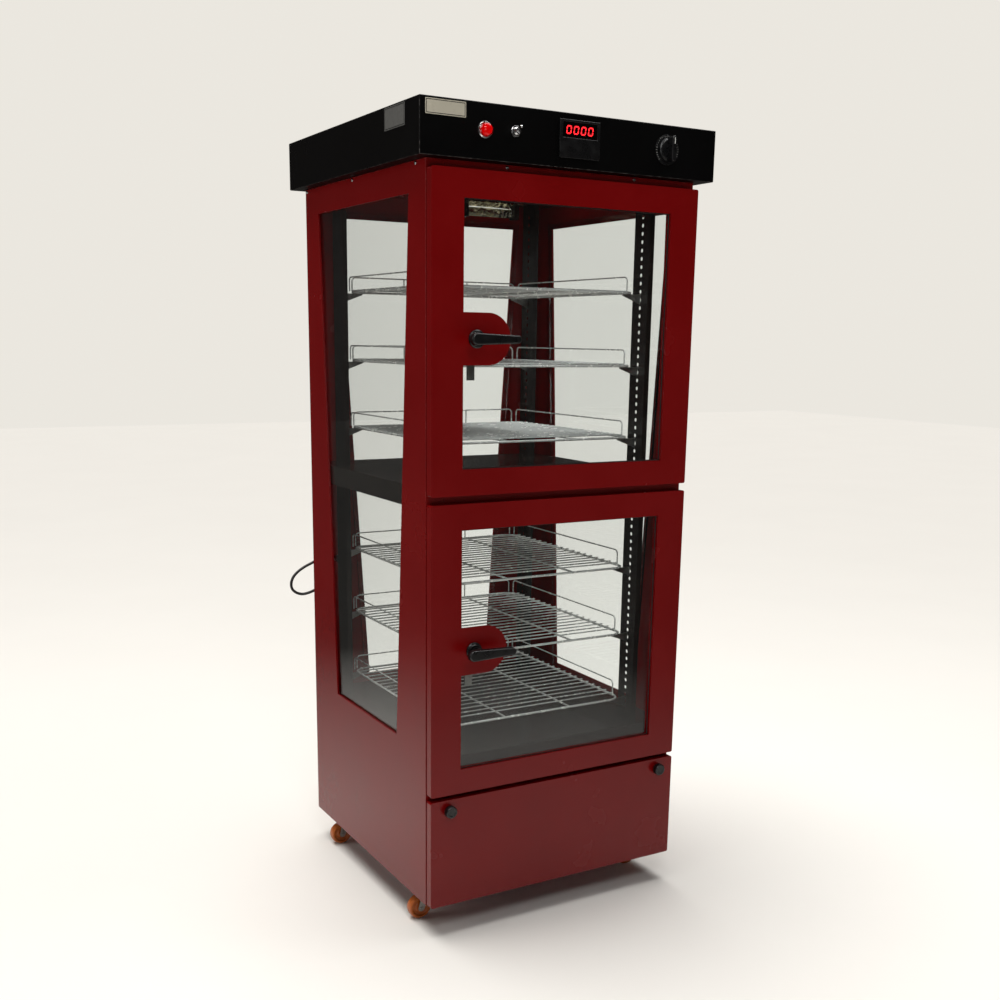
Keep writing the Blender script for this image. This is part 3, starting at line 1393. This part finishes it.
def makeWheel(name):
    s = casterSet
    node = name + "_wheel"
    low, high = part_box(node)
    rollsSideways = high.x - low.x < high.y - low.y
    half = s["width"] / 2
    r = s["wheel"]
    tyre = mirrored([
        (r - 6.5 * mm, -half + 2.2 * mm),
        (r - 6 * mm, -half),
        (r - 2.6 * mm, -half),
        (r - 0.7 * mm, -half + 2.4 * mm),
        (r, -2 * mm),
    ])
    disc = mirrored([
        (3.05 * mm, -half + 1 * mm),
        (8 * mm, -half + 1 * mm),
        (9 * mm, -half + 3 * mm),
        (11 * mm, -half + 4.4 * mm),
        (16 * mm, -half + 4.4 * mm),
        (r - 6.5 * mm, -half + 2.4 * mm),
    ])
    turned = Matrix.Rotation(math.radians(90), 4, "Z") if rollsSideways else Matrix()
    place = shift(*((low + high) / 2)) @ turned @ forward
    wheel = moved(merged(lathe(tyre, 0.9 * mm, 64), lathe(disc, 0.5 * mm, 48)), place)
    addPiece(camelName(node), wheel, amberTread, node, [node])


makeCasterPlates()
for name in casterNames:
    node = name + "_fork"
    copyNode(node, 0.5 * mm, zincPlate, node, longer=5 * mm, angle=1.0)
    makeWheel(name)
print("casters made")

# Inside the chambers

heaterSet = {
    "radius": 4 * mm,
    "bend": 22 * mm,
    "overDivider": 21 * mm,
    "dividerHigh": 42 * mm,
    "sheet": 1.5 * mm,
    "short": 0.2 * mm,
}


def makeHeaters():
    s = heaterSet
    low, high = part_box("heaters")
    lines = []
    front, back = low.y + s["radius"], high.y - s["radius"]
    side = high.x - s["radius"]
    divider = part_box("mid_divider")[0].z + s["overDivider"]
    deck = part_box("chamber_deck")[1].z
    rise = s["dividerHigh"] - s["sheet"] - s["overDivider"]
    for z in (deck - s["sheet"] - rise, divider):
        top = z + rise - s["short"]
        corners = [(-side, front), (-side, back), (side, back), (side, front)]
        run = [(x, y, z) for x, y in corners]
        lines.append([(-side, front, top), *run, (side, front, top)])
    mesh = wires(lines, s["radius"], s["bend"], burntSheath, 14)
    settle("heatingTubes", mesh, "cabinet", ["heaters"], 50, False)


foilSet = {
    "cells": 60,
    "crumple": 4.6 * mm,
    "seed": 11,
    "lip": 6 * mm,
    "skirt": 33 * mm,
    "margin": 2 * mm,
    "thickness": 0.3 * mm,
    "tubeDrop": 26 * mm,
    "holderAt": 66 * mm,
}


def makeChamberLamp():
    # a crumpled foil reflector, flat at its front half and curving down behind the tube
    s = foilSet
    low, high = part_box("chamber_lamp")
    centre = (low + high) / 2
    bm = newShape()
    width, half = high.x - low.x - s["margin"], (high.y - low.y) / 2 - s["margin"]
    rows = s["cells"] // 2
    grid = []
    for i in range(s["cells"] + 1):
        row = []
        for j in range(rows + 1):
            u, v = i / s["cells"] - 0.5, 2 * j / rows - 1
            swing = max(v, 0) * math.pi / 2
            y = half * (v if v < 0 else math.sin(swing))
            drop = s["lip"] * v * v if v < 0 else s["skirt"] * (1 - math.cos(swing))
            spot = Vector((u * width, v * 50 * mm, 0.01 * s["seed"]))
            crease = abs(noise.noise(spot * 60)) + 0.45 * abs(noise.noise(spot * 150))
            out = Vector((0, -math.sin(swing), -math.cos(swing))) * s["crumple"] * crease
            z = high.z - 1 * mm - drop + out.z
            row.append(bm.verts.new((centre.x + spot.x, centre.y + y + out.y, z)))
        grid.append(row)
    for one, two in zip(grid, grid[1:]):
        for k in range(len(one) - 1):
            bm.faces.new((one[k], one[k + 1], two[k + 1], two[k]))
    bmesh.ops.recalc_face_normals(bm, faces=bm.faces)
    if sum(f.normal.z for f in bm.faces) > 0:
        bmesh.ops.reverse_faces(bm, faces=bm.faces)
    bmesh.ops.solidify(bm, geom=bm.faces[:], thickness=s["thickness"])
    bmesh.ops.recalc_face_normals(bm, faces=bm.faces)
    addPiece("foilTray", bm, tinFoil, "cabinet", ["chamber_lamp"], 25, False)
    caps = []
    for side in (-1, 1):
        cap = plate(roundRect(12 * mm, 26 * mm, 2 * mm), 38 * mm, 0.8 * mm, 3, -40 * mm)
        caps.append(moved(cap, shift(centre.x + side * s["holderAt"], centre.y, high.z)))
    addPiece("lampHolders", merged(*caps), ovenEnamel, "cabinet", [])
    tube = lathe(scaled((0, -61), (9.5, -61), (10.9, -57), (10.9, 57), (9.5, 61), (0, 61)), 1.2 * mm, 36)
    along = shift(centre.x, centre.y, high.z - s["tubeDrop"]) @ Matrix.Rotation(math.radians(90), 4, "Y")
    addPiece("lampTube", moved(tube, along), lampGlass, "cabinet", [], 60)


makeHeaters()
makeChamberLamp()
copyNode("cable_clips", 0.8 * mm, blackMoulding, "cabinet", "cordClips", 4 * mm, 1.0, 3)
print("insides made")

# Floor, lights and surroundings

studioSet = {
    "floor": rgba(0.8, 0.78, 0.745),
    "floorShade": 0.06,  # share of the floor's colour that far reflections of it keep
    "backdrop": rgba(0.83, 0.8, 0.74),
    "room": rgba(0.035, 0.032, 0.03),
    "reach": 14,
    "sunAngle": 45,
    "sunPower": 3.45,
    "sunWay": (0.1, -0.2, -1),
}


def makeFloor():
    s = studioSet
    mesh = bpy.data.meshes.new("studioFloor")
    r = s["reach"]
    mesh.from_pydata([(-r, -r, 0), (r, -r, 0), (r, r, 0), (-r, r, 0)], [], [(0, 1, 2, 3)])
    material, tree, shader = newMaterial("paleFloor", {"Roughness": 0.8, "Specular IOR Level": 0.0})
    where = objectPlace(tree)
    pale = blendColour(tree, speckle(tree, where, 1.4, 5.0, 0.6), dimmed(s["floor"], 0.96), s["floor"])
    away = addNode(tree, "ShaderNodeVectorMath", {0: where}, operation="LENGTH")
    far = remap(tree, away.outputs["Value"], 0.6, 2.2)
    bounced = tree.nodes.new("ShaderNodeLightPath").outputs["Glossy Depth"]
    share = calculate(tree, "MULTIPLY", far, bounced, True)
    # far parts of the floor are dark in reflections, so that glass and paint stay clear
    seen = blendColour(tree, share, pale, dimmed(s["floor"], s["floorShade"]))
    tree.links.new(seen, shader.inputs["Base Color"])
    mesh.materials.append(material)
    floor = bpy.data.objects.new("studioFloor", mesh)
    bpy.context.scene.collection.objects.link(floor)


def makeLight(name, place, target, size, power, gleam, colour=(1, 1, 1)):
    data = bpy.data.lights.new(name, "AREA")
    data.specular_factor = gleam
    data.shape = "RECTANGLE"
    data.size, data.size_y = size
    data.energy = power
    data.color = colour
    light = bpy.data.objects.new(name, data)
    light.location = place
    light.rotation_euler = (Vector(target) - Vector(place)).to_track_quat("-Z", "Y").to_euler()
    bpy.context.scene.collection.objects.link(light)


def makeStudio():
    world = bpy.data.worlds.new("studio")
    world.use_nodes = True
    tree = world.node_tree
    path = tree.nodes.new("ShaderNodeLightPath")
    bounced = calculate(tree, "MAXIMUM", path.outputs["Diffuse Depth"], path.outputs["Glossy Depth"], True)
    sky = blendColour(tree, bounced, studioSet["backdrop"], studioSet["room"])
    tree.links.new(sky, tree.nodes["Background"].inputs[0])
    bpy.context.scene.world = world
    bpy.context.scene.view_settings.view_transform = "Standard"
    sun = bpy.data.lights.new("softSky", "SUN")
    sun.energy = studioSet["sunPower"]
    sun.angle = math.radians(studioSet["sunAngle"])
    sun.color = (1, 0.985, 0.955)
    overhead = bpy.data.objects.new("softSky", sun)
    overhead.rotation_euler = Vector(studioSet["sunWay"]).to_track_quat("-Z", "Y").to_euler()
    bpy.context.scene.collection.objects.link(overhead)
    makeLight("leftWindow", (-3.4, 0.9, 2.0), (0, 0, 0.8), (1.6, 2.4), 20, 0.35, (1, 0.97, 0.93))
    makeLight("frontLamp", (-1.0, -2.5, 3.0), (0, 0, 0.9), (0.9, 0.9), 22, 1.0)
    makeLight("lowFill", (-1.7, -3.7, 1.2), (0, 0, 0.6), (1.4, 1.4), 9, 0.3)
    makeLight("rightPanel", (1.1, -0.5, 3.3), (0, -0.3, 1.5), (1.8, 1.2), 24, 1.0)


makeFloor()
makeStudio()
